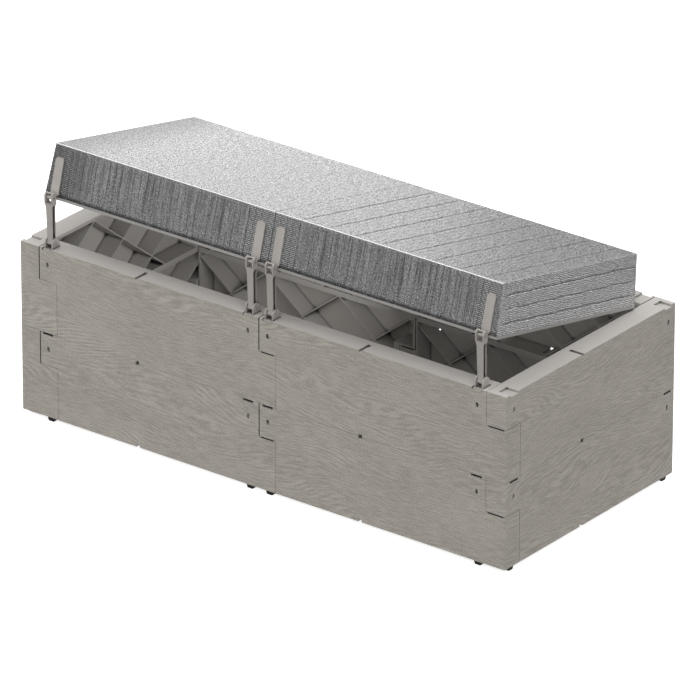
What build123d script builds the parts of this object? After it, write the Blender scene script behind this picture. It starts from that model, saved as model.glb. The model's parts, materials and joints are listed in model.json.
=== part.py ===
from build123d import *
import os

# Deck storage box: interlocking wall panels, two drafted lids and eight support arms.
# Frame: +Z up, X along the box, Y from front (-) to back (+), origin on the ground under the
# centre. Half of the wall, turned half round about Z, gives the other half.

# --- Driving dimensions (mm) ---------------------------------------------------------------
LENGTH = 1500.0  # outside, along X
WIDTH = 692.0  # outside, along Y
COURSE = 230.0  # height of one course of panels
WALL = 58.0  # wall thickness
FOOT = 13.0  # foot height
RIM = FOOT + 2 * COURSE  # top of the walls

PANEL = WIDTH  # body length of every wall panel
HALF_X, HALF_Y = LENGTH / 2, WIDTH / 2
INNER_X = HALF_X - WALL
INNER_Y = HALF_Y - WALL

# --- Panel moulding ------------------------------------------------------------------------
SKIN = 4.0
TOP_FLANGE, LOW_FLANGE, END_FLANGE = 9.0, 5.0, 6.0
RIB, RIB_PITCH, RIB_ANGLE = 3.0, 228.0, 38.0
RIB_NODE_S, RIB_NODE_H = 130.0, 133.0
TAB_TOP, NOTCH_TOP = 138.0, 142.0  # the dark slot over a tab lies between them
SEAM = 0.8  # hairline between panels
MID_TAB, WRAP_TAB = 50.0, 56.0  # reach of the middle tab and of the corner's wrapped tab
TAB_LIP = 5.0  # the slot over a tab stops this far from its ends
DARK_GAP = 3.0  # upright gap beside a panel's upper band
POCKET_DEPTH, POCKET_HIGH = 36.0, 5.5  # bracket sockets in a panel's top edge
PEG_W, PEG_H = 8.0, 14.0  # small upright slots through the skin
PEG_AT = 186.0
HOLE_AT, HOLE = 311.0, 11.0  # square hole across the seam, half in each course
HOLE_DEPTH = 40.0

# slot places and socket ranges along a panel, from its left end as seen from outside
PEGS = {"first": (27.0, 657.5), "second": (26.0, 663.0), "side": (33.0, 664.0)}
POCKETS = {
    "first": ((10.0, 42.0), (642.0, 674.0)),
    "second": ((10.0, 42.0), (647.0, 679.0)),
    "side": ((17.0, 50.0), (649.0, 678.0)),
    "back_first": ((76.0, 108.0),),
    "back_second": ((584.0, 616.0),),
}

# --- Floor and feet ------------------------------------------------------------------------
FLOOR_T, FLOOR_HIGH, FLOOR_EDGE = 4.0, 20.0, 1.0
FLOOR_RIB, FLOOR_CELLS = 3.0, (6, 5)
FLOOR_FEET = (1, 1.5)  # rib crossings over the inner feet, counted from the middle
FOOT_X, FOOT_Y, FOOT_FLARE = 16.0, 14.0, 8.0  # size on the ground and flare in degrees
FOOT_IN = 14.0  # foot centre, in from the outer face

# --- Lids ----------------------------------------------------------------------------------
LID_OPEN = 12.03  # degrees open as stored
LID_HIGH = 138.0
LID_DRAFT = 9.0
LID_OUT = 696.0  # outer end of a lid
LID_MID = 1.0  # inner end of a lid
LID_FRONT, LID_BACK = -302.0, 276.0
LID_SHELL = 2.0
LID_LOW = RIM + 0.4  # a shut lid stands just clear of the rim
HINGE_Y, HINGE_Z = 281.0, RIM + 125.0
FRAME_HIGH, FRAME_W = 7.0, 20.0  # plastic ring under the silver shell

# --- Arms, brackets, straps ----------------------------------------------------------------
LOW_PIN = (-327.0, RIM + 12.0)  # Y and Z of the front arms' lower pins
FRONT_PIN = (-331.0, RIM + 135.0)  # Y and Z of the front arms' upper pins
REAR_PIN = (-HINGE_Y, HINGE_Z)  # the rear arms' upper pins, seen from behind
PIN_R, PIN_CLEAR = 3.0, 0.08
PLATE_T, PLATE_W = 4.0, 28.0  # bracket plate, seated on its socket's floor
PLATE_OUT, PLATE_IN = 17.0, 15.0  # its reach from the lower pin, outward and inward
EAR_GAP, EAR_T, EAR_R = 19.2, 3.2, 13.5  # bracket ears
EYE_R, EYE_W = 8.0, 18.4  # lower eye of an arm
ARM_LOW_W, ARM_HIGH_W, ARM_DEEP = 16.0, 19.0, 14.0
ARM_FLANGE, ARM_WEB = 3.0, 3.0
HEAD_W, HEAD_DEEP, HEAD_LOW = 25.0, 17.0, 18.0  # forked head of an arm
HEAD_GAP = 18.0
HEAD_TOP = {"front": 13.0, "rear": 8.5}
HEAD_NECK, HEAD_SEAT = 10.0, 3.0  # widening under the head and floor of its fork
HEAD_BAR_R = 2.0  # bar across the top of a front head
BARREL_R, TONGUE, TONGUE_T, KNUCKLE_GAP = 4.2, 7.5, 3.0, 0.2
PIN_PROUD = 0.7  # a pin stands out of its ears by this much
STRAP_W, STRAP_T, STRAP_ROUND = 25.0, 4.0, 7.0
STRAP_LOW, STRAP_HIGH = 9.0, {"front": 106.0, "rear": 130.0}
EYELET_R, EYELET_GAP = 7.5, 0.3  # hinge eye on a rear strap
EYELET_REACH, EYELET_TOP = 11.5, 4.0  # its web, from the pin to the strap and over the pin

ARM_XS = {
    "front": {
        "left_outer": -INNER_X + PEGS["first"][0],
        "left_inner": -INNER_X + PEGS["first"][1],
        "right_inner": PEGS["second"][0],
        "right_outer": PEGS["second"][1],
    },
    "rear": {
        "left_outer": -600.0,
        "left_inner": -PEGS["second"][0],
        "right_inner": INNER_X - PEGS["first"][1],
        "right_outer": 600.0,
    },
}

os.makedirs("parts", exist_ok=True)


def save(piece, name):
    """Label a finished piece and write its STEP file."""
    piece.label = name
    export_step(piece, f"parts/{name}.step")


# --- Walls ---------------------------------------------------------------------------------
def wall_plane(side, course, index=0):
    """Outer face of a panel: X along the panel seen from outside, Y up, Z outward."""
    height = FOOT + course * COURSE
    spots = {
        "front": ((-INNER_X + index * INNER_X, -HALF_Y), (1, 0, 0), (0, -1, 0)),
        "right": ((HALF_X, -HALF_Y), (0, 1, 0), (1, 0, 0)),
        "back": ((INNER_X - index * INNER_X, HALF_Y), (-1, 0, 0), (0, 1, 0)),
        "left": ((-HALF_X, HALF_Y), (0, -1, 0), (-1, 0, 0)),
    }
    (x, y), along, outward = spots[side]
    return Plane(origin=(x, y, height), x_dir=along, z_dir=outward)


def rect(s0, h0, s1, h1, mode=Mode.ADD):
    """Rectangle between two corners of the current sketch."""
    with Locations(((s0 + s1) / 2, (h0 + h1) / 2)):
        Rectangle(s1 - s0, h1 - h0, mode=mode)


def draw_panel(kind):
    """Draw a panel's outline with its notch at the left end and its tab at the right end."""
    notch = {"first": WRAP_TAB, "second": MID_TAB, "side": WALL}[kind]
    tab = {"first": MID_TAB, "second": WALL, "side": 0.0}[kind]
    start = {"first": DARK_GAP, "second": DARK_GAP / 2, "side": 0.0}[kind]
    stop = {"first": DARK_GAP / 2, "second": SEAM, "side": 0.0}[kind]
    rect(start, NOTCH_TOP, PANEL - stop, COURSE)
    rect(notch + SEAM, 0, PANEL, NOTCH_TOP)
    if tab:
        rect(PANEL - DARK_GAP, 0, PANEL + tab, NOTCH_TOP - SEAM)
        rect(PANEL + TAB_LIP, TAB_TOP, PANEL + tab - TAB_LIP, NOTCH_TOP, Mode.SUBTRACT)


def make_panel(name, kind, face, sockets):
    """One open-backed wall panel: skin, flanges, crossed ribs, sockets and small slots."""
    with BuildPart() as panel:
        with BuildSketch(face):
            draw_panel(kind)
        extrude(amount=-WALL)
        with BuildSketch(face.offset(-SKIN)):
            rect(END_FLANGE + DARK_GAP, NOTCH_TOP + 4, PANEL - END_FLANGE, COURSE - TOP_FLANGE)
            rect(WALL + END_FLANGE + 4, LOW_FLANGE, PANEL - END_FLANGE, NOTCH_TOP + 4)
            for node in range(-1, 4):
                with Locations((RIB_NODE_S + node * RIB_PITCH, RIB_NODE_H)):
                    for turn in (-RIB_ANGLE, RIB_ANGLE):
                        Rectangle(2 * RIB_PITCH, RIB, rotation=turn, mode=Mode.SUBTRACT)
        extrude(amount=SKIN - WALL, mode=Mode.SUBTRACT)
        with BuildSketch(face):
            for s0, s1 in sockets:
                rect(s0, COURSE - POCKET_HIGH, s1, COURSE)
        extrude(amount=-POCKET_DEPTH, mode=Mode.SUBTRACT)
        with BuildSketch(face):
            with Locations((HOLE_AT, 0), (HOLE_AT, COURSE)):
                Rectangle(HOLE, HOLE)
        extrude(amount=-HOLE_DEPTH, mode=Mode.SUBTRACT)
        with BuildSketch(face):
            with Locations([(s, PEG_AT) for s in PEGS[kind]]):
                SlotOverall(PEG_H, PEG_W, rotation=90)
        extrude(amount=-2 * SKIN, mode=Mode.SUBTRACT)
        if kind == "side":
            # the tab at the far end turns the corner into the neighbour's notch
            with BuildSketch(face.offset(-WALL)):
                rect(PANEL - WALL, SEAM, PANEL, NOTCH_TOP - SEAM)
            extrude(amount=-WRAP_TAB)
            with BuildSketch(face.offset(-WALL)):
                rect(PANEL - WALL - 1, 2 * LOW_FLANGE, PANEL - SKIN, TAB_TOP - 6)
            extrude(amount=SKIN - WRAP_TAB, mode=Mode.SUBTRACT)
    save(panel.part, name)


def make_walls():
    """Twelve panels, two courses on four sides."""
    for side, kinds in {
        "front": ("first", "second"),
        "right": ("side",),
        "back": ("first", "second"),
        "left": ("side",),
    }.items():
        ends = {"front": ("left", "right"), "back": ("right", "left")}.get(side, ("",))
        for index, kind in enumerate(kinds):
            for course, level in enumerate(("lower", "upper")):
                parts = [side, ends[index], level, "panel"]
                name = "_".join(word for word in parts if word)
                sockets = POCKETS[kind] + POCKETS.get(f"{side}_{kind}", ())
                make_panel(name, kind, wall_plane(side, course, index), sockets)


# --- Floor and feet ------------------------------------------------------------------------
def make_floor(side, name):
    """Floor panel: a flat top on a grid of ribs, open below."""
    middle_x = side * INNER_X / 2
    size_x, size_y = INNER_X - 2 * FLOOR_EDGE, 2 * (INNER_Y - FLOOR_EDGE)
    cell_x, cell_y = size_x / FLOOR_CELLS[0], size_y / FLOOR_CELLS[1]
    with BuildPart() as floor:
        with BuildSketch(Plane.XY.offset(FOOT)):
            with Locations((middle_x, 0)):
                Rectangle(size_x, size_y)
        extrude(amount=FLOOR_HIGH)
        with BuildSketch(Plane.XY.offset(FOOT)):
            with Locations((middle_x, 0)):
                with GridLocations(cell_x, cell_y, *FLOOR_CELLS):
                    Rectangle(cell_x - FLOOR_RIB, cell_y - FLOOR_RIB)
        extrude(amount=FLOOR_HIGH - FLOOR_T, mode=Mode.SUBTRACT)
    save(floor.part, name)


def make_feet():
    """Small tapered feet under the panel ends and under the floor's crossings."""
    wall_feet = [(x, -HALF_Y + FOOT_IN) for x in ARM_XS["front"].values()]
    wall_feet += [(HALF_X - FOOT_IN, -HALF_Y + s) for s in PEGS["side"]]
    spots = wall_feet + [(-x, -y) for x, y in wall_feet]
    cell_x, cell_y = INNER_X / FLOOR_CELLS[0], 2 * INNER_Y / FLOOR_CELLS[1]
    inner, row = FLOOR_FEET
    for column in (inner, FLOOR_CELLS[0] - inner):
        for side in (-1, 1):
            for end in (-1, 1):
                spots.append((side * column * cell_x, end * row * cell_y))
    with BuildPart() as feet:
        with BuildSketch(Plane.XY):
            with Locations(spots):
                Rectangle(FOOT_X, FOOT_Y)
        extrude(amount=FOOT, taper=-FOOT_FLARE)
    save(feet.part, "feet")


# --- Brackets and arms ---------------------------------------------------------------------
def pin_plane(row, x, pin):
    """Plane square to X at a pin: local X towards the box, local Y up, for a front or rear row."""
    facing = 1 if row == "front" else -1
    return Plane(origin=(x, facing * pin[0], pin[1]), x_dir=(0, facing, 0),
                 z_dir=(facing, 0, 0))


def arm_plane(row, x):
    """Plane square to X at the lower pin, local Y along the arm, and the arm's length."""
    upright = pin_plane(row, x, LOW_PIN)
    top = FRONT_PIN if row == "front" else REAR_PIN
    facing = upright.z_dir.X
    lean = Vector(0, facing * (top[0] - LOW_PIN[0]), top[1] - LOW_PIN[1])
    across = (0, facing * lean.Z, -facing * lean.Y)
    return Plane(origin=upright.origin, x_dir=across, z_dir=upright.z_dir), lean.length


def make_bracket(row, x, name):
    """Bracket: a plate in the rim's socket with two round-topped ears for the lower pin."""
    side = pin_plane(row, x, LOW_PIN)
    plate_low = RIM - POCKET_HIGH - LOW_PIN[1]
    plate_top = plate_low + PLATE_T
    with BuildPart() as bracket:
        with BuildSketch(side):
            rect(-PLATE_OUT, plate_low, PLATE_IN, plate_top)
        extrude(amount=PLATE_W / 2, both=True)
        for sign in (-1, 1):
            with BuildSketch(side.offset(sign * EAR_GAP / 2)):
                Circle(EAR_R)
                rect(-EAR_R, plate_top, EAR_R, 0)
                Circle(PIN_R, mode=Mode.SUBTRACT)
            extrude(amount=sign * EAR_T)
    save(bracket.part, name)


def arm_shape(row, x):
    """Arm: an H-section bar with an eye at its foot and a forked head."""
    side, length = arm_plane(row, x)
    front = Plane(origin=side.origin, x_dir=side.z_dir, z_dir=-side.x_dir)
    head_low, head_top = length - HEAD_LOW, length + HEAD_TOP[row]
    with BuildPart() as arm:
        with BuildSketch(front):
            with BuildLine():
                Polyline(
                    (-ARM_LOW_W / 2, 0),
                    (-ARM_HIGH_W / 2, head_low - HEAD_NECK),
                    (-HEAD_W / 2, head_low),
                    (-HEAD_W / 2, head_low + HEAD_SEAT),
                    (HEAD_W / 2, head_low + HEAD_SEAT),
                    (HEAD_W / 2, head_low),
                    (ARM_HIGH_W / 2, head_low - HEAD_NECK),
                    (ARM_LOW_W / 2, 0),
                    close=True,
                )
            make_face()
        extrude(amount=ARM_DEEP / 2, both=True)
        for sign in (-1, 1):
            with BuildSketch(side.offset(sign * ARM_WEB / 2)):
                channel = ARM_DEEP / 2 - ARM_FLANGE
                rect(-channel, EYE_R + SKIN, channel, head_low - ARM_WEB)
            extrude(amount=sign * HEAD_W, mode=Mode.SUBTRACT)
        with BuildSketch(side):
            Circle(EYE_R)
        extrude(amount=EYE_W / 2, both=True)
        for sign in (-1, 1):
            with BuildSketch(side.offset(sign * HEAD_GAP / 2)) as ear:
                rect(-HEAD_DEEP / 2, head_low, HEAD_DEEP / 2, head_top)
                fillet(ear.vertices().group_by(SortBy.DISTANCE)[-1], radius=HEAD_DEEP / 2 - 0.01)
            extrude(amount=sign * (HEAD_W - HEAD_GAP) / 2)
        if row == "front":
            with BuildSketch(side):
                with Locations((0, head_top - HEAD_BAR_R - 0.2)):
                    Circle(HEAD_BAR_R)
            extrude(amount=HEAD_GAP / 2, both=True)
        with BuildSketch(side):
            with Locations((0, 0), (0, length)):
                Circle(PIN_R + PIN_CLEAR)
        extrude(amount=HEAD_W, both=True, mode=Mode.SUBTRACT)
    return arm.part, side, length


def make_arms():
    """Four front arms on their own joints and four fixed rear arms, each with its bracket."""
    for row, places in ARM_XS.items():
        for place, x in places.items():
            make_bracket(row, x, f"{row}_{place}_bracket")
            part, side, length = arm_shape(row, x)
            save(part, f"{row}_{place}_arm")
            if row == "front":
                make_knuckle(side, length, f"front_{place}_knuckle")


def make_knuckle(side, length, name):
    """Knuckle in the front arm's fork: a barrel on the upper pin with a short tongue."""
    with BuildPart() as knuckle:
        with BuildSketch(side):
            with Locations((0, length)):
                Circle(BARREL_R)
            rect(0, length - TONGUE_T / 2, TONGUE, length + TONGUE_T / 2)
            with Locations((0, length)):
                Circle(PIN_R + PIN_CLEAR, mode=Mode.SUBTRACT)
        extrude(amount=HEAD_GAP / 2 - KNUCKLE_GAP, both=True)
    save(knuckle.part, name)


def make_pins():
    """Pins: eight lower ones fixed in the brackets, one in each front head, four hinge pins."""
    with BuildPart() as lower:
        for row, places in ARM_XS.items():
            for x in places.values():
                with BuildSketch(pin_plane(row, x, LOW_PIN)):
                    Circle(PIN_R)
                extrude(amount=EAR_GAP / 2 + EAR_T + PIN_PROUD, both=True)
    save(lower.part, "bracket_pins")
    for place, x in ARM_XS["front"].items():
        with BuildPart() as upper:
            with BuildSketch(pin_plane("front", x, FRONT_PIN)):
                Circle(PIN_R)
            extrude(amount=HEAD_W / 2 + PIN_PROUD, both=True)
        save(upper.part, f"front_{place}_pin")
    with BuildPart() as hinge:
        for x in ARM_XS["rear"].values():
            with BuildSketch(pin_plane("rear", x, REAR_PIN)):
                Circle(PIN_R)
            extrude(amount=HEAD_W / 2 + PIN_PROUD, both=True)
    save(hinge.part, "hinge_pins")


# --- Lids ----------------------------------------------------------------------------------
def on_lid(x, y, z, x_dir=(1, 0, 0), z_dir=(0, 0, 1)):
    """Plane given for the shut lid, carried to the stored, open lid."""
    hinge = Vector(0, HINGE_Y, HINGE_Z)
    origin = hinge + (Vector(x, y, z) - hinge).rotate(Axis.X, -LID_OPEN)
    turned = [Vector(*way).rotate(Axis.X, -LID_OPEN) for way in (x_dir, z_dir)]
    return Plane(origin=origin, x_dir=turned[0], z_dir=turned[1])


def draw_section(side, inset, height):
    """Draw a lid's cross-section at a height over its bottom; the inner end isn't drafted."""
    lean = LID_DRAFT * height / LID_HIGH + inset
    x0, x1 = sorted((side * (LID_MID + inset), side * (LID_OUT - lean)))
    rect(x0, LID_FRONT + lean, x1, LID_BACK - lean)


def make_lid(side, name):
    """Silver shell of one lid, open below, over a plastic ring with cross bars."""
    with BuildPart() as shell:
        for inset, top, mode in (
            (0, LID_HIGH, Mode.ADD),
            (LID_SHELL, LID_HIGH - LID_SHELL, Mode.SUBTRACT),
        ):
            for height in (FRAME_HIGH, top):
                with BuildSketch(on_lid(0, 0, LID_LOW + height)):
                    draw_section(side, inset, height)
            loft(mode=mode)
    save(shell.part, f"{name}_lid_shell")
    with BuildPart() as ring:
        with BuildSketch(on_lid(0, 0, LID_LOW)):
            draw_section(side, 0, 0)
            x0, x1 = sorted((side * (LID_MID + FRAME_W), side * (LID_OUT - FRAME_W)))
            rect(x0, LID_FRONT + FRAME_W, x1, LID_BACK - FRAME_W, Mode.SUBTRACT)
            with Locations(((x0 + x1) / 2, (LID_FRONT + LID_BACK) / 2)):
                with GridLocations((LID_OUT - LID_MID) / 3, 0, 2, 1):
                    Rectangle(FRAME_W, LID_BACK - LID_FRONT - FRAME_W)
        extrude(amount=FRAME_HIGH)
    save(ring.part, f"{name}_lid_frame")


def strap_plane(row, x):
    """Outer face of a lid at a strap: X along the box, Y up the drafted face, Z outward."""
    facing = -1 if row == "front" else 1
    face_y = LID_FRONT if row == "front" else LID_BACK
    return on_lid(x, face_y, LID_LOW, x_dir=(-facing, 0, 0),
                  z_dir=(0, facing * LID_HIGH, LID_DRAFT))


def make_strap(row, x, name):
    """Strap on a lid's face; a rear strap also carries the hinge eye."""
    with BuildPart() as strap:
        with BuildSketch(strap_plane(row, x)) as outline:
            rect(-STRAP_W / 2, STRAP_LOW, STRAP_W / 2, STRAP_HIGH[row])
            fillet(outline.vertices().group_by(Axis.Z)[-1], radius=STRAP_ROUND)
        extrude(amount=STRAP_T)
        if row == "rear":
            with BuildSketch(on_lid(x, HINGE_Y, HINGE_Z, x_dir=(0, 1, 0), z_dir=(1, 0, 0))):
                Circle(EYELET_R)
                rect(-EYELET_REACH, -EYELET_R, 0, EYELET_TOP)
                Circle(PIN_R + PIN_CLEAR, mode=Mode.SUBTRACT)
            extrude(amount=HEAD_GAP / 2 - EYELET_GAP, both=True)
    save(strap.part, name)


def make_straps():
    """Front and rear straps, two on each face of each lid."""
    for row, places in ARM_XS.items():
        for place, x in places.items():
            make_strap(row, x, f"{row}_{place}_strap")


make_walls()
make_floor(-1, "left_floor")
make_floor(1, "right_floor")
make_feet()
make_arms()
make_pins()
make_lid(-1, "left")
make_lid(1, "right")
make_straps()
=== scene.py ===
import json
import math

import bmesh
import bpy
from mathutils import Matrix, Vector


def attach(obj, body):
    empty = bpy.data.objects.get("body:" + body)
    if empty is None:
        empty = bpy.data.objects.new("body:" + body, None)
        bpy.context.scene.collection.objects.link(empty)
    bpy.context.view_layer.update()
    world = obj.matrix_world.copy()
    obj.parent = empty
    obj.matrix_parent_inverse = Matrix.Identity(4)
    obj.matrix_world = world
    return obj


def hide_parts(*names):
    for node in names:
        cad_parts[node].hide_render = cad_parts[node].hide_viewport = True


# Looks for the deck storage box: wood-grain plastic walls, embossed silver lids, taupe arms.
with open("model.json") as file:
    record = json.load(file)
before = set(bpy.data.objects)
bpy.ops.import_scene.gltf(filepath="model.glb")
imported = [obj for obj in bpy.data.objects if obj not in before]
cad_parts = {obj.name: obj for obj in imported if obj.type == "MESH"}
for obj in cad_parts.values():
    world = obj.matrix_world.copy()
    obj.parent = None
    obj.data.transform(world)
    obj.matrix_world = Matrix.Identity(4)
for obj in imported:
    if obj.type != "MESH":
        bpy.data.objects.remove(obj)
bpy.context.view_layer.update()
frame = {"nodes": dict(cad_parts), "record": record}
nodes = frame["nodes"]
MM = 0.001

# --- View ----------------------------------------------------------------------------------
VIEW_AZIMUTH, VIEW_ELEVATION, VIEW_ROLL = 37.4876, 24.803, 0.0939  # degrees
VIEW_DISTANCE, VIEW_LENS, SENSOR, VIEW_END = 22.3316, 465.5, 36.0, 100
VIEW_RIGHT, VIEW_UP = 0.0065, 0.2288  # how far the view's centre lies off WALL_FOOT
WALL_FOOT = 13 * MM  # height of the walls' lower edge

# --- Walls, from the frame -----------------------------------------------------------------
WALL_X, WALL_Y = 750 * MM, 346 * MM  # outer faces
SEAM_HIGH = 243 * MM  # between the two courses of panels

# --- Lids, from the frame; LID_LOW is a shut lid's height and the next three lie above it ---
OPEN = math.radians(12.03)  # how far the stored lids stand open
HINGE = Vector((0, 281 * MM, 598 * MM))
LID_LOW, LID_RING, LID_HIGH, LID_DRAFT = 473.4 * MM, 7 * MM, 138 * MM, 9 * MM
LID_OUT, LID_MID = 696 * MM, 1 * MM
LID_FRONT, LID_BACK = -302 * MM, 276 * MM

# --- The embossed sheet --------------------------------------------------------------------
SKIN = 1.6 * MM
ROLL_WIDTH, ROLL_SEGMENTS = 1.8 * MM, 3
PLEAT = 79 * MM  # between the deep lines that run front to back
BAND = 35 * MM  # between the deep lines of the outer end
PRESS = 1.5 * MM  # depth of the deepest lines
MERGE = 0.05 * MM  # corners closer than this are one corner
MESH_ZONE = 75 * MM  # reach of the mesh from either end of a lid's front and back
DARK_END_ZONE, DARK_END_RAMP = 150 * MM, 130 * MM  # where the left lid turns darker, and over what length
STRAND, MESH, WEAVE, PEBBLE, ROLLED = range(5)
SHEET_KINDS = ("strand", "mesh", "weave", "pebble")
SHEET_LIGHT = {"pebble": 0.73, "strand": 0.45, "mesh": 0.62, "weave": 0.88}
# colour of the painted shade in the sheet's hollows and pressed lines, then the colour and share
# of the left lid's darker end
SHEET_HOLLOW_SHADE, SHEET_DARK_END, DARK_END_SHARE = (0.16, 0.16, 0.162), (0.12, 0.12, 0.121), 0.62
# lines pressed into the sheet: half width, and depth as a share of PRESS
END_LINE, TOP_LINE, SIDE_LINE = (3 * MM, 0.8), (5 * MM, 1.0), (3 * MM, 0.5)
FINE_PITCH, FINE_LINE = PLEAT / 4, (2.5 * MM, 0.3)
FAINT = 0.15  # share of that depth on the top of the left lid
FADE = 14  # lines fade out over one part in this many at a face's edges
# waver of the lines: size, radians per metre, start
END_WAVES = ((0.9 * MM, 60, 0), (0.5 * MM, 171, 1))
PLEAT_WAVES = ((0.8 * MM, 60, 0),)
# cells along and up (or back) each face, and the way its lines are pressed in
CELLS = {
    "top": (348, 40), "front": (348, 12), "back": (348, 12), "outer": (120, 92), "inner": (40, 12),
}
INWARD = {
    "top": (0, 0, -1), "front": (0, 1, 0), "back": (0, -1, 0), "outer": (-1, 0, 0),
    "inner": (1, 0, 0),
}

# --- Plastics: darker colour, lighter colour, roughness, by material slot ------------------
PLASTICS = {
    "floor_plastic": ((0.30, 0.28, 0.255), (0.34, 0.32, 0.29), 0.5),
    "arm_plastic": ((0.37, 0.345, 0.32), (0.41, 0.385, 0.36), 0.42),
    "lid_frame_plastic": ((0.27, 0.26, 0.25), (0.31, 0.30, 0.29), 0.4),
    "foot_rubber": ((0.012, 0.012, 0.013), (0.02, 0.02, 0.021), 0.6),
}
GRAIN_DARK, GRAIN_LIGHT = (0.315, 0.293, 0.258), (0.47, 0.442, 0.396)
SMOOTH_DARK, SMOOTH_LIGHT = (0.46, 0.438, 0.413), (0.50, 0.478, 0.452)
# painted shade in slots, sockets and narrow recesses: how far it reaches, and its near-black
# colour
PAINTED_SHADE_REACH, PAINTED_SHADE_COLOUR = 14 * MM, (0.025, 0.023, 0.021)
PAINTED_SHADE_RAMP = 0.26, 0.76  # openness at which a recess takes all of the painted shade, and none of it
SOFT_EDGES = {"wall_plastic": 0.8 * MM, "arm_plastic": 0.6 * MM, "lid_frame_plastic": 0.6 * MM}
SOFT_SEGMENTS, SOFT_ANGLE = 2, math.radians(50)

# --- Light ---------------------------------------------------------------------------------
SURROUND = 0.32
PATCHES = (  # direction, half angle in degrees, strength
    ((0.0, 0.0, 1.0), 60, 0.8),  # overhead
    ((-0.55, 0.0, 0.83), 30, 2.0),  # high on the left, seen in the lids' front edges
    ((0.22, 0.88, 0.43), 30, 2.9),  # behind, facing the lids' ends
    ((0.0, 0.0, -1.0), 62, -0.3),  # dark below
    ((-0.55, -0.83, 0.0), 45, -0.2),  # dark front left, seen in the lids' fronts
    ((0.50, -0.76, 0.48), 42, 2.4),  # front right
)
PANELS = (  # name, place, aim, size, power, unseen
    ("back_left_panel", (-1.3, 1.25, 0.8), (-0.4, 0, 0.65), (1.4, 0.7), 4.2, False),
    ("front_left_panel", (-1.3, -1.5, 0.62), (-0.4, -0.3, 0.55), (1.3, 0.7), 2.0, False),
    ("left_inside", (-0.10, -0.06, 0.40), (-0.7, 0.0, 0.34), (0.36, 0.14), 1.2, True),
    ("right_inside", (0.62, -0.15, 0.40), (0.0, 0.25, 0.36), (0.24, 0.12), 0.2, True),
)
FLOOR_SIZE, FLOOR_GLOW, FLOOR_ROUGHNESS = 60, 0.75, 0.9
FLOOR_DARK, FLOOR_LIGHT = (0.79, 0.79, 0.79), (0.81, 0.81, 0.81)


# --- Node helpers --------------------------------------------------------------------------
def opaque(colour):
    """Colour with full alpha."""
    return (*colour, 1)


class Nodes:
    """A node tree with short calls to add and join nodes."""

    def __init__(self, tree):
        self.tree = tree

    def add(self, kind, **values):
        node = self.tree.nodes.new(kind)
        for key, value in values.items():
            setattr(node, key, value)
        return node

    def plug(self, socket, value):
        """Join an output to a socket, or set the socket to a plain value."""
        if isinstance(value, bpy.types.NodeSocket):
            self.tree.links.new(value, socket)
        else:
            socket.default_value = value

    def math(self, operation, a, b=0.0):
        node = self.add("ShaderNodeMath", operation=operation)
        self.plug(node.inputs[0], a)
        self.plug(node.inputs[1], b)
        return node.outputs[0]

    def times(self, value, factor):
        return self.math("MULTIPLY", value, factor)

    def total(self, *parts):
        """Sum of values, each with its weight."""
        result = None
        for value, weight in parts:
            part = self.times(value, weight)
            result = part if result is None else self.math("ADD", result, part)
        return result

    def around(self, value, centre, gain):
        """Value's distance from a centre, made larger or smaller."""
        return self.times(self.math("SUBTRACT", value, centre), gain)

    def sine(self, value, pitch):
        return self.math("SINE", self.times(value, 2 * math.pi / pitch))

    def ramp(self, value, low, high, to_low=0.0, to_high=1.0):
        """Smooth step of value from low to high."""
        node = self.add("ShaderNodeMapRange", interpolation_type="SMOOTHSTEP")
        for socket, number in zip(node.inputs[:5], (value, low, high, to_low, to_high)):
            self.plug(socket, number)
        return node.outputs[0]

    def vector(self, x, y, z=0.0):
        node = self.add("ShaderNodeCombineXYZ")
        for socket, value in zip(node.inputs, (x, y, z)):
            self.plug(socket, value)
        return node.outputs[0]

    def split(self, vector):
        """The X, Y and Z of a vector."""
        parts = self.add("ShaderNodeSeparateXYZ")
        self.plug(parts.inputs[0], vector)
        return parts.outputs

    def place(self):
        """Object-space position."""
        return self.add("ShaderNodeTexCoord").outputs["Object"]

    def noise(self, vector, scale, detail=2.0, roughness=0.5):
        node = self.add("ShaderNodeTexNoise")
        self.plug(node.inputs["Vector"], vector)
        node.inputs["Scale"].default_value = scale
        node.inputs["Detail"].default_value = detail
        node.inputs["Roughness"].default_value = roughness
        return node.outputs["Fac"]

    def stretched(self, a, b, detail=2.0, roughness=0.5, layer=0.0):
        """Noise with its own scale along each of two directions, a and b."""
        place = self.vector(self.times(*a), self.times(*b), layer)
        return self.noise(place, 1.0, detail, roughness)

    def blend(self, factor, a, b):
        """Colour between a and b."""
        node = self.add("ShaderNodeMix", data_type="RGBA")
        self.plug(node.inputs["Factor"], factor)
        self.plug(node.inputs["A"], a)
        self.plug(node.inputs["B"], b)
        return node.outputs["Result"]

    def painted_recess_shade(self, colour):
        """Colour with painted shade that goes dark in slots, sockets and other narrow recesses."""
        occlusion = self.add("ShaderNodeAmbientOcclusion", samples=6)
        occlusion.inputs["Distance"].default_value = PAINTED_SHADE_REACH
        unshaded = self.ramp(occlusion.outputs["AO"], *PAINTED_SHADE_RAMP)
        return self.blend(unshaded, opaque(PAINTED_SHADE_COLOUR), colour)

    def bump(self, height, distance, strength=1.0, onto=None):
        node = self.add("ShaderNodeBump")
        node.inputs["Strength"].default_value = strength
        node.inputs["Distance"].default_value = distance
        self.plug(node.inputs["Height"], height)
        if onto is not None:
            self.plug(node.inputs["Normal"], onto)
        return node.outputs[0]


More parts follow.
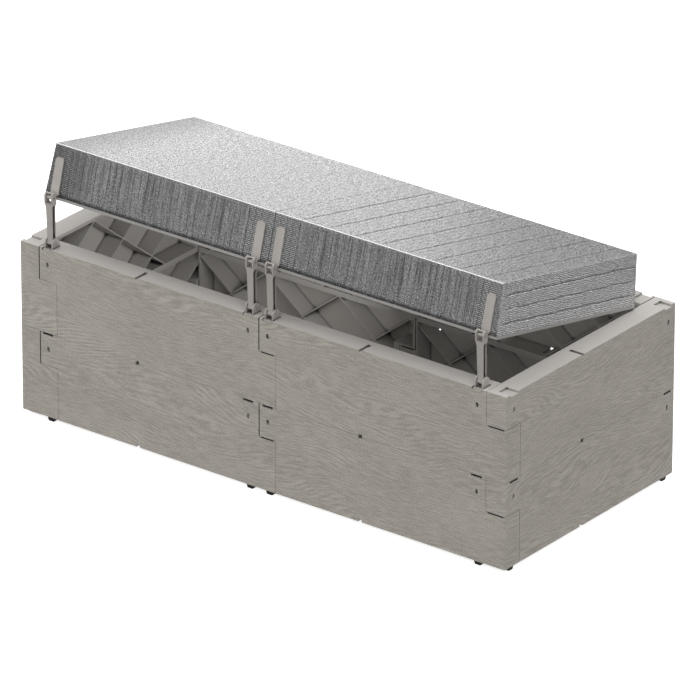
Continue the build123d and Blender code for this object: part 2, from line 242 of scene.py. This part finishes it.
class Surface(Nodes):
    """A material round its Principled shader."""

    def __init__(self, name):
        self.material = bpy.data.materials.new(name)
        self.material.use_nodes = True
        super().__init__(self.material.node_tree)
        self.shader = self.tree.nodes["Principled BSDF"]

    def shade(self, colour, roughness, normal=None, **constants):
        """Wire up the shader. Constants go on its own sockets, with _ for a space."""
        self.plug(self.shader.inputs["Base Color"], colour)
        self.plug(self.shader.inputs["Roughness"], roughness)
        if normal is not None:
            self.plug(self.shader.inputs["Normal"], normal)
        for name, value in constants.items():
            self.shader.inputs[name.replace("_", " ")].default_value = value
        return self.material

    def swing(self, value, size, base):
        """Roughness that moves with a value."""
        return self.math("ADD", self.times(value, size), base)


# --- Materials -----------------------------------------------------------------------------
# Scales of noise are cells per metre, since object space and the UV layers are in metres.
def outer_face(m, x, y, normal):
    """1 on the walls' upright outer faces, 0 elsewhere."""
    upright = m.ramp(m.math("ABSOLUTE", m.split(normal)[2]), 0.5, 0.3)
    out = [
        m.ramp(m.math("ABSOLUTE", value), wall - 2 * MM, wall - 0.8 * MM)
        for value, wall in ((x, WALL_X), (y, WALL_Y))
    ]
    return m.times(upright, m.math("MAXIMUM", *out))


def wall_plastic():
    """Taupe moulded plastic, embossed with a running wood grain on the upright outer faces."""
    m = Surface("wall_plastic")
    x, y, z = m.split(m.place())
    along = m.math("ADD", x, y)
    outer = outer_face(m, x, y, m.add("ShaderNodeNewGeometry").outputs["Normal"])

    # rings: lines of equal height in a noise drawn out along the wall, clear only in patches
    drift = m.stretched((along, 1.7), (z, 6.0), 1.5, 0.4)
    ridge = m.ramp(m.sine(m.total((z, 120.0), (drift, 36.0)), 1.0), -0.6, 1.0)
    patch = m.stretched((along, 5.0), (z, 13.0), layer=7.0)
    ridge = m.times(ridge, m.ramp(patch, 0.35, 0.7))
    bend = m.total((z, 230.0), (drift, 40.0))
    fibre = m.noise(m.vector(m.times(along, 24.0), bend), 1.0, 2.0, 0.6)
    grit = m.noise(m.vector(m.times(along, 0.6), z), 330.0, 2.0, 0.7)
    grain = m.total((ridge, 0.3), (m.ramp(fibre, 0.3, 0.7), 0.42), (m.ramp(grit, 0.3, 0.7), 0.38))
    joint = m.math("ABSOLUTE", m.math("SUBTRACT", z, SEAM_HIGH))
    seam = m.ramp(joint, 1.4 * MM, 0.4 * MM, 0.0, 0.5)
    grain = m.times(m.math("SUBTRACT", grain, seam), outer)

    cloud = m.stretched((along, 2.2), (z, 5.0), 3.0, layer=3.0)
    fine = m.noise(m.vector(along, z, y), 900.0)
    shade = m.math("ADD", m.around(grain, 0.46, 1.25), 0.5)
    shade = m.math("ADD", shade, m.around(cloud, 0.5, 0.25))
    grained = m.blend(m.ramp(shade, 0.0, 1.0), opaque(GRAIN_DARK), opaque(GRAIN_LIGHT))
    smooth = m.blend(m.ramp(cloud, 0.2, 0.8), opaque(SMOOTH_DARK), opaque(SMOOTH_LIGHT))
    texture = m.bump(fine, 0.08 * MM, 0.5, onto=m.bump(grain, 0.6 * MM))
    # the colour carries painted shade, dark in slots and narrow recesses
    return m.shade(
        m.painted_recess_shade(m.blend(outer, smooth, grained)), m.swing(fibre, 0.12, 0.5), texture,
        Specular_IOR_Level=0.35,
    )


def moulded_plastic(name, dark, light, roughness):
    """Plain moulded plastic with a fine spark-eroded texture and a little colour drift."""
    m = Surface(name)
    place = m.place()
    cloud = m.noise(place, 18.0, 3.0)
    fine = m.noise(place, 1040.0, 2.0, 0.6)
    body = m.blend(m.ramp(cloud, 0.25, 0.75), opaque(dark), opaque(light))
    # the colour carries painted shade, dark in slots and narrow recesses
    # the fine texture swings the roughness by 0.09 to either side
    return m.shade(
        m.painted_recess_shade(body), m.swing(fine, 0.18, roughness - 0.09), m.bump(fine, 0.12 * MM, 0.6)
    )


def brushed_metal(name, scratches, dark, light, rough, depth):
    """Metal with fine scratches."""
    m = Surface(name)
    scratch = m.noise(m.place(), *scratches)
    return m.shade(
        m.blend(scratch, opaque(dark), opaque(light)), m.swing(scratch, *rough),
        m.bump(scratch, depth, 0.5), Metallic=1.0,
    )


def embossing(m, kind, across, along, speck):
    """Height of one kind of embossing, about 0 to 1."""

    def streaks(a, b, detail=2.0, roughness=0.6):
        return m.stretched((across, a), (along, b), detail, roughness)

    def up(value):
        return m.math("ADD", value, 1.0)

    if kind == "pebble":
        ribbon = m.ramp(streaks(200.0, 45.0), 0.38, 0.62)
        return m.times(m.total((m.ramp(speck, 0.4, 0.6), 1.0), (ribbon, 0.5)), 0.66)
    if kind == "strand":
        streak = m.ramp(streaks(420.0, 9.0, 3.0, 0.75), 0.36, 0.66)
        broad = m.ramp(streaks(75.0, 2.0), 0.35, 0.7)
        return m.total((streak, 0.55), (broad, 0.14), (m.ramp(speck, 0.35, 0.65), 0.4))
    sway = streaks(60.0, 40.0)
    if kind == "mesh":
        strand = m.sine(m.math("ADD", across, m.times(sway, 2 * MM)), 3.9 * MM)
        knot = m.sine(along, 4.6 * MM)
        dots = m.times(up(strand), up(knot))
        return m.total((dots, 0.24), (m.ramp(speck, 0.35, 0.65), 0.3))
    zigzag = m.math("PINGPONG", along, 9 * MM)
    lane = m.math("ADD", across, m.times(zigzag, 0.45))
    strand = m.sine(m.math("ADD", lane, m.times(sway, 5 * MM)), 5.5 * MM)
    dash = m.ramp(streaks(480.0, 110.0), 0.36, 0.64)
    return m.total((up(strand), 0.3), (dash, 0.42))


def silver(kind):
    """Embossed silver sheet: pebble (top), strand (front, back), mesh (their ends), weave (end).

    The UV layer strands holds the place across and along, and the layer lines holds how deep
    the sheet is pressed in and how much it is darkened.
    """
    m = Surface(f"silver_{kind}")
    across, along, _ = m.split(m.add("ShaderNodeUVMap", uv_map="strands").outputs[0])
    pressed, end_darkening, _ = m.split(m.add("ShaderNodeUVMap", uv_map="lines").outputs[0])
    speck = m.stretched((across, 250.0), (along, 230.0), 2.0, 0.7)
    height = embossing(m, kind, across, along, speck)
    height = m.math("SUBTRACT", height, m.times(pressed, 1.15))
    light = SHEET_LIGHT[kind]
    raised = opaque((light, light, light * 1.005))
    # painted shade: the colour goes dark where the embossing is low and along the pressed lines
    hollow_shaded = m.blend(m.ramp(height, 0.1, 0.95), opaque(SHEET_HOLLOW_SHADE), raised)
    # towards the left lid's outer end the colour turns darker
    darkened = m.blend(DARK_END_SHARE, hollow_shaded, opaque(SHEET_DARK_END))
    return m.shade(
        m.blend(end_darkening, hollow_shaded, darkened), m.swing(speck, 0.15, 0.2), m.bump(height, 1.2 * MM),
        Metallic=1.0,
    )


def steel():
    """Satin steel of the pins."""
    return brushed_metal(
        "steel", (900.0, 3.0, 0.7), (0.42, 0.41, 0.40), (0.55, 0.54, 0.53), (0.2, 0.3), 0.05 * MM
    )


def rolled_silver():
    """Polished silver of the rolled edges."""
    return brushed_metal(
        "silver_rolled", (400.0, 2.0, 0.6), (0.78, 0.78, 0.785), (0.92, 0.92, 0.925), (0.1, 0.3),
        0.1 * MM,
    )


MATERIALS = {"wall_plastic": wall_plastic()}
for slot_name, look in PLASTICS.items():
    MATERIALS[slot_name] = moulded_plastic(slot_name, *look)
MATERIALS["steel"] = steel()
SILVER = [silver(kind) for kind in SHEET_KINDS] + [rolled_silver()]


def dress_frame():
    """Give every carried-over node its slot's material and softened edges."""
    for entry in frame["record"]["subparts"]:
        name, slot = entry["node"], entry["material_slot"]
        if slot not in MATERIALS:
            continue
        node = nodes[name]
        node.data.materials.clear()
        node.data.materials.append(MATERIALS[slot])
        if slot in SOFT_EDGES:
            soften = node.modifiers.new("soft_edges", "BEVEL")
            soften.width, soften.segments = SOFT_EDGES[slot], SOFT_SEGMENTS
            soften.limit_method, soften.angle_limit = "ANGLE", SOFT_ANGLE


# --- Lids ----------------------------------------------------------------------------------
def carried(point):
    """A point of the shut lid, turned to the stored, open lid."""
    turn = Matrix.Rotation(-OPEN, 3, "X")
    return HINGE + turn @ (Vector(point) - HINGE)


def lid_point(face, s, t):
    """Point on a lid's face, before relief. s runs along it and t up or back, 0 to 1."""
    if face == "top":
        x = LID_MID + s * (LID_OUT - LID_DRAFT - LID_MID)
        y = LID_FRONT + LID_DRAFT + t * (LID_BACK - LID_FRONT - 2 * LID_DRAFT)
        return x, y, LID_HIGH
    z = LID_RING + t * (LID_HIGH - LID_RING)
    tilt = LID_DRAFT * z / LID_HIGH
    if face in ("front", "back"):
        x = LID_MID + s * (LID_OUT - tilt - LID_MID)
        return x, LID_FRONT + tilt if face == "front" else LID_BACK - tilt, z
    y = LID_FRONT + tilt + s * (LID_BACK - LID_FRONT - 2 * tilt)
    return LID_OUT - tilt if face == "outer" else LID_MID, y, z


def groove(value, pitch, width, depth):
    """Depth of a smooth V groove repeated every pitch."""
    off = abs((value / pitch + 0.5) % 1.0 - 0.5) * pitch
    return depth * max(0.0, 1 - off / width) ** 2


def waver(value, waves):
    """How far a line strays to the side at a place along it."""
    return sum(size * math.sin(value * turns + start) for size, turns, start in waves)


def relief(side, face, point, s, t):
    """How far the sheet is pressed in at a point, 0 to 1."""
    x, y, z = point
    fade = min(1.0, FADE * min(s, 1 - s), FADE * min(t, 1 - t))
    if face == "outer":
        return fade * groove(z + waver(y, END_WAVES), BAND, *END_LINE)
    place = x + waver(y + z, PLEAT_WAVES)
    deep = groove(place, PLEAT, *(TOP_LINE if face == "top" else SIDE_LINE))
    fine = groove(place, FINE_PITCH, *FINE_LINE)
    faint = FAINT if side < 0 and face == "top" else 1.0
    return fade * faint * max(deep, fine)


def end_darkening(side, face, x):
    """The left lid's sheet is darker towards its outer end."""
    if side > 0 or face == "outer":
        return 0.0
    return max(0.0, min(1.0, (x - LID_OUT + DARK_END_ZONE) / DARK_END_RAMP))


def lid_uv(face, x, y, z):
    """Across and along the strands, in metres."""
    if face == "outer":
        return z, y
    if face == "inner":
        return y, z
    return x, {"top": y, "front": LID_FRONT - z, "back": LID_BACK + z}[face]


def sheet_kind(face, x):
    """Index of the embossing at x on a face."""
    if face in ("front", "back") and not LID_MID + MESH_ZONE <= x <= LID_OUT - MESH_ZONE:
        return MESH
    return {"outer": WEAVE, "top": PEBBLE}.get(face, STRAND)


def add_face(work, side, face):
    """Add one embossed face of a lid to the mesh, with its two UV layers."""
    strands, lines = work.loops.layers.uv["strands"], work.loops.layers.uv["lines"]
    columns, rows = CELLS[face]
    corners, marks = {}, {}
    for j in range(rows + 1):
        for i in range(columns + 1):
            s, t = i / columns, j / rows
            x, y, z = lid_point(face, s, t)
            press = relief(side, face, (x, y, z), s, t)
            push = Vector(INWARD[face]) * press * PRESS
            point = Vector((side * (x + push.x), y + push.y, z + push.z + LID_LOW))
            corners[j, i] = work.verts.new(carried(point))
            marks[j, i] = (x, y, z), press
    for j in range(rows):
        for i in range(columns):
            around = [(j, i), (j, i + 1), (j + 1, i + 1), (j + 1, i)]
            quad = work.faces.new([corners[key] for key in around])
            quad.material_index = sheet_kind(face, marks[j, i][0][0])
            quad.smooth = True
            for loop, key in zip(quad.loops, around):
                place, press = marks[key]
                loop[strands].uv = lid_uv(face, *place)
                loop[lines].uv = press, end_darkening(side, face, place[0])


def mark_rolls(work):
    """Mark the edges round the top to be rolled, away from where the two lids meet.

    An edge is marked only where the top shares it with another face. The outer end's cells
    are narrower than the top's, so the edge between those two stays sharp.
    """
    weights = work.edges.layers.float.new("bevel_weight_edge")
    for edge in work.edges:
        tops = sum(face.material_index == PEBBLE for face in edge.link_faces)
        outward = all(abs(corner.co.x) > LID_MID + SKIN for corner in edge.verts)
        edge[weights] = float(tops == 1 and len(edge.link_faces) == 2 and outward)


def lid_skin(side, name):
    """One lid's embossed silver shell, as a thin sheet with rolled edges."""
    work = bmesh.new()
    for layer in ("strands", "lines"):
        work.loops.layers.uv.new(layer)
    for face in CELLS:
        add_face(work, side, face)
    bmesh.ops.remove_doubles(work, verts=work.verts, dist=MERGE)
    bmesh.ops.recalc_face_normals(work, faces=work.faces)
    mark_rolls(work)
    mesh = bpy.data.meshes.new(name)
    work.to_mesh(mesh)
    work.free()
    skin = bpy.data.objects.new(name, mesh)
    bpy.context.scene.collection.objects.link(skin)
    for material in SILVER:
        mesh.materials.append(material)
    roll = skin.modifiers.new("rolled_edges", "BEVEL")
    roll.width, roll.segments = ROLL_WIDTH, ROLL_SEGMENTS
    roll.limit_method = "WEIGHT"
    roll.material = ROLLED
    thick = skin.modifiers.new("sheet", "SOLIDIFY")
    thick.thickness, thick.offset = SKIN, -1
    return skin


def make_lids():
    for side, name in ((-1, "left"), (1, "right")):
        skin = lid_skin(side, f"{name}_lid_skin")
        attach(skin, f"{name}_lid")
        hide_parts(f"{name}_lid_shell")


# --- Studio --------------------------------------------------------------------------------
def make_camera():
    a, e = math.radians(VIEW_AZIMUTH), math.radians(VIEW_ELEVATION)
    back = Vector((math.sin(a) * math.cos(e), -math.cos(a) * math.cos(e), math.sin(e)))
    right = Vector((math.cos(a), math.sin(a), 0))
    up = back.cross(right)
    data = bpy.data.cameras.new("camera")
    data.lens, data.sensor_width, data.clip_end = VIEW_LENS, SENSOR, VIEW_END
    camera = bpy.data.objects.new("camera", data)
    bpy.context.scene.collection.objects.link(camera)
    middle = Vector((0, 0, WALL_FOOT)) + right * VIEW_RIGHT + up * VIEW_UP
    camera.location = middle + back * VIEW_DISTANCE
    turn = Matrix((right, up, back)).transposed()
    roll = Matrix.Rotation(math.radians(VIEW_ROLL), 3, "Z")
    camera.rotation_mode = "QUATERNION"
    camera.rotation_quaternion = (turn @ roll).to_quaternion()
    bpy.context.scene.camera = camera


def area_light(name, place, aim, size, power, unseen):
    data = bpy.data.lights.new(name, "AREA")
    data.shape = "RECTANGLE"
    data.size, data.size_y = size
    data.energy = power
    light = bpy.data.objects.new(name, data)
    light.location = place
    light.visible_camera = light.visible_glossy = not unseen
    light.rotation_mode = "QUATERNION"
    light.rotation_quaternion = (Vector(aim) - Vector(place)).to_track_quat("-Z", "Y")
    bpy.context.scene.collection.objects.link(light)


def make_floor():
    """Pale floor, kept out of the object's reflections and indirect light."""
    m = Surface("studio_floor")
    fine = m.noise(m.place(), 40.0)
    m.shade(
        m.blend(fine, opaque(FLOOR_DARK), opaque(FLOOR_LIGHT)), FLOOR_ROUGHNESS,
        Emission_Color=(1, 1, 1, 1), Emission_Strength=FLOOR_GLOW,
    )
    bpy.ops.mesh.primitive_plane_add(size=FLOOR_SIZE)
    floor = bpy.context.object
    floor.name = "studio_floor"
    floor.data.materials.append(m.material)
    floor.visible_glossy = floor.visible_diffuse = floor.visible_shadow = False


def glow(sky, way, spread, strength):
    """A soft round patch of light (or of shade) in the surround, centred on a direction."""
    coordinates = sky.add("ShaderNodeTexCoord")
    toward = sky.add("ShaderNodeVectorMath", operation="DOT_PRODUCT")
    sky.plug(toward.inputs[1], Vector(way).normalized())
    sky.plug(toward.inputs[0], coordinates.outputs["Generated"])
    return sky.ramp(toward.outputs["Value"], math.cos(math.radians(spread)), 1.0, 0.0, strength)


def make_world():
    """Soft surround with a few brighter and darker patches."""
    world = bpy.data.worlds.new("studio")
    bpy.context.scene.world = world
    world.use_nodes = True
    sky = Nodes(world.node_tree)
    total = SURROUND
    for patch in PATCHES:
        total = sky.math("ADD", glow(sky, *patch), total)
    background = sky.tree.nodes["Background"]
    background.inputs["Color"].default_value = (1, 1, 1, 1)
    sky.plug(background.inputs["Strength"], total)


def make_studio():
    make_floor()
    make_world()
    for panel in PANELS:
        area_light(*panel)
    bpy.context.scene.view_settings.view_transform = "Standard"


make_camera()
make_studio()
dress_frame()
make_lids()
